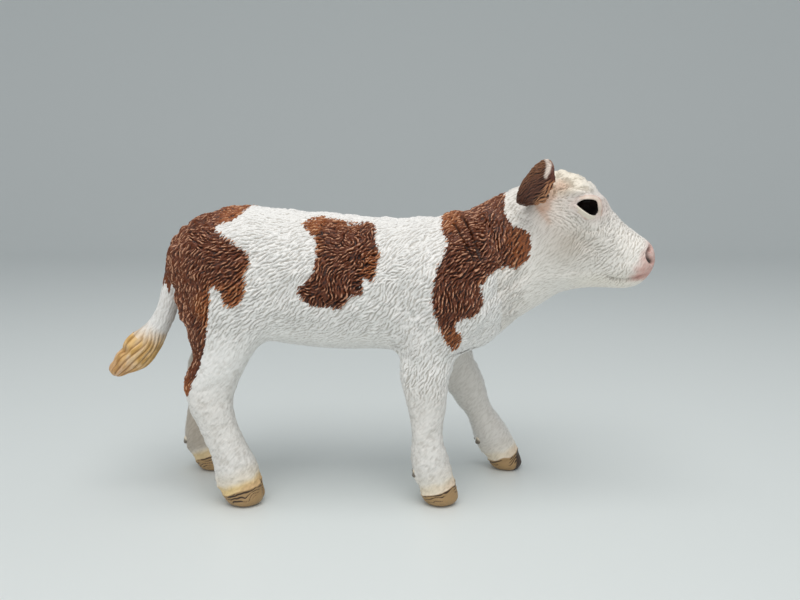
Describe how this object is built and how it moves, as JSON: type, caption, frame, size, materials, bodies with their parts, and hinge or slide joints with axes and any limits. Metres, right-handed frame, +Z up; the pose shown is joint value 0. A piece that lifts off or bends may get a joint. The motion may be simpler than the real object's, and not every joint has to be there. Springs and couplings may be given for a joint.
{
  "type": "calf figure",
  "caption": "Small solid plastic figure of a walking calf with its head turned to one side, brown patches on a white coat, assembled from plugged castings.",
  "frame": {"origin": "on the ground, in the middle of the box that holds the figure", "axes": "+Z up, +X from tail to nose, +Y towards the calf's own left side"},
  "size_m": [0.074, 0.0238, 0.0458],
  "materials": {
    "coat": "satin white with moulded short fur, painted reddish-brown patches",
    "face": "satin white, pink muzzle and eyelids, cream forehead",
    "ears": "satin dark brown, whitish hair inside the cup",
    "eyes": "high gloss black",
    "tail": "satin white at the root, yellow ochre tuft",
    "legs": "satin white fading to cream above tan hooves"
  },
  "bodies": {
    "root": {"torso": "coat", "head": "face", "ear_right": "ears", "ear_left": "ears", "eye_right": "eyes", "eye_left": "eyes", "tail": "tail", "leg_front_right": "legs", "leg_front_left": "legs", "leg_rear_right": "legs", "leg_rear_left": "legs"}
  },
  "joints": []
}
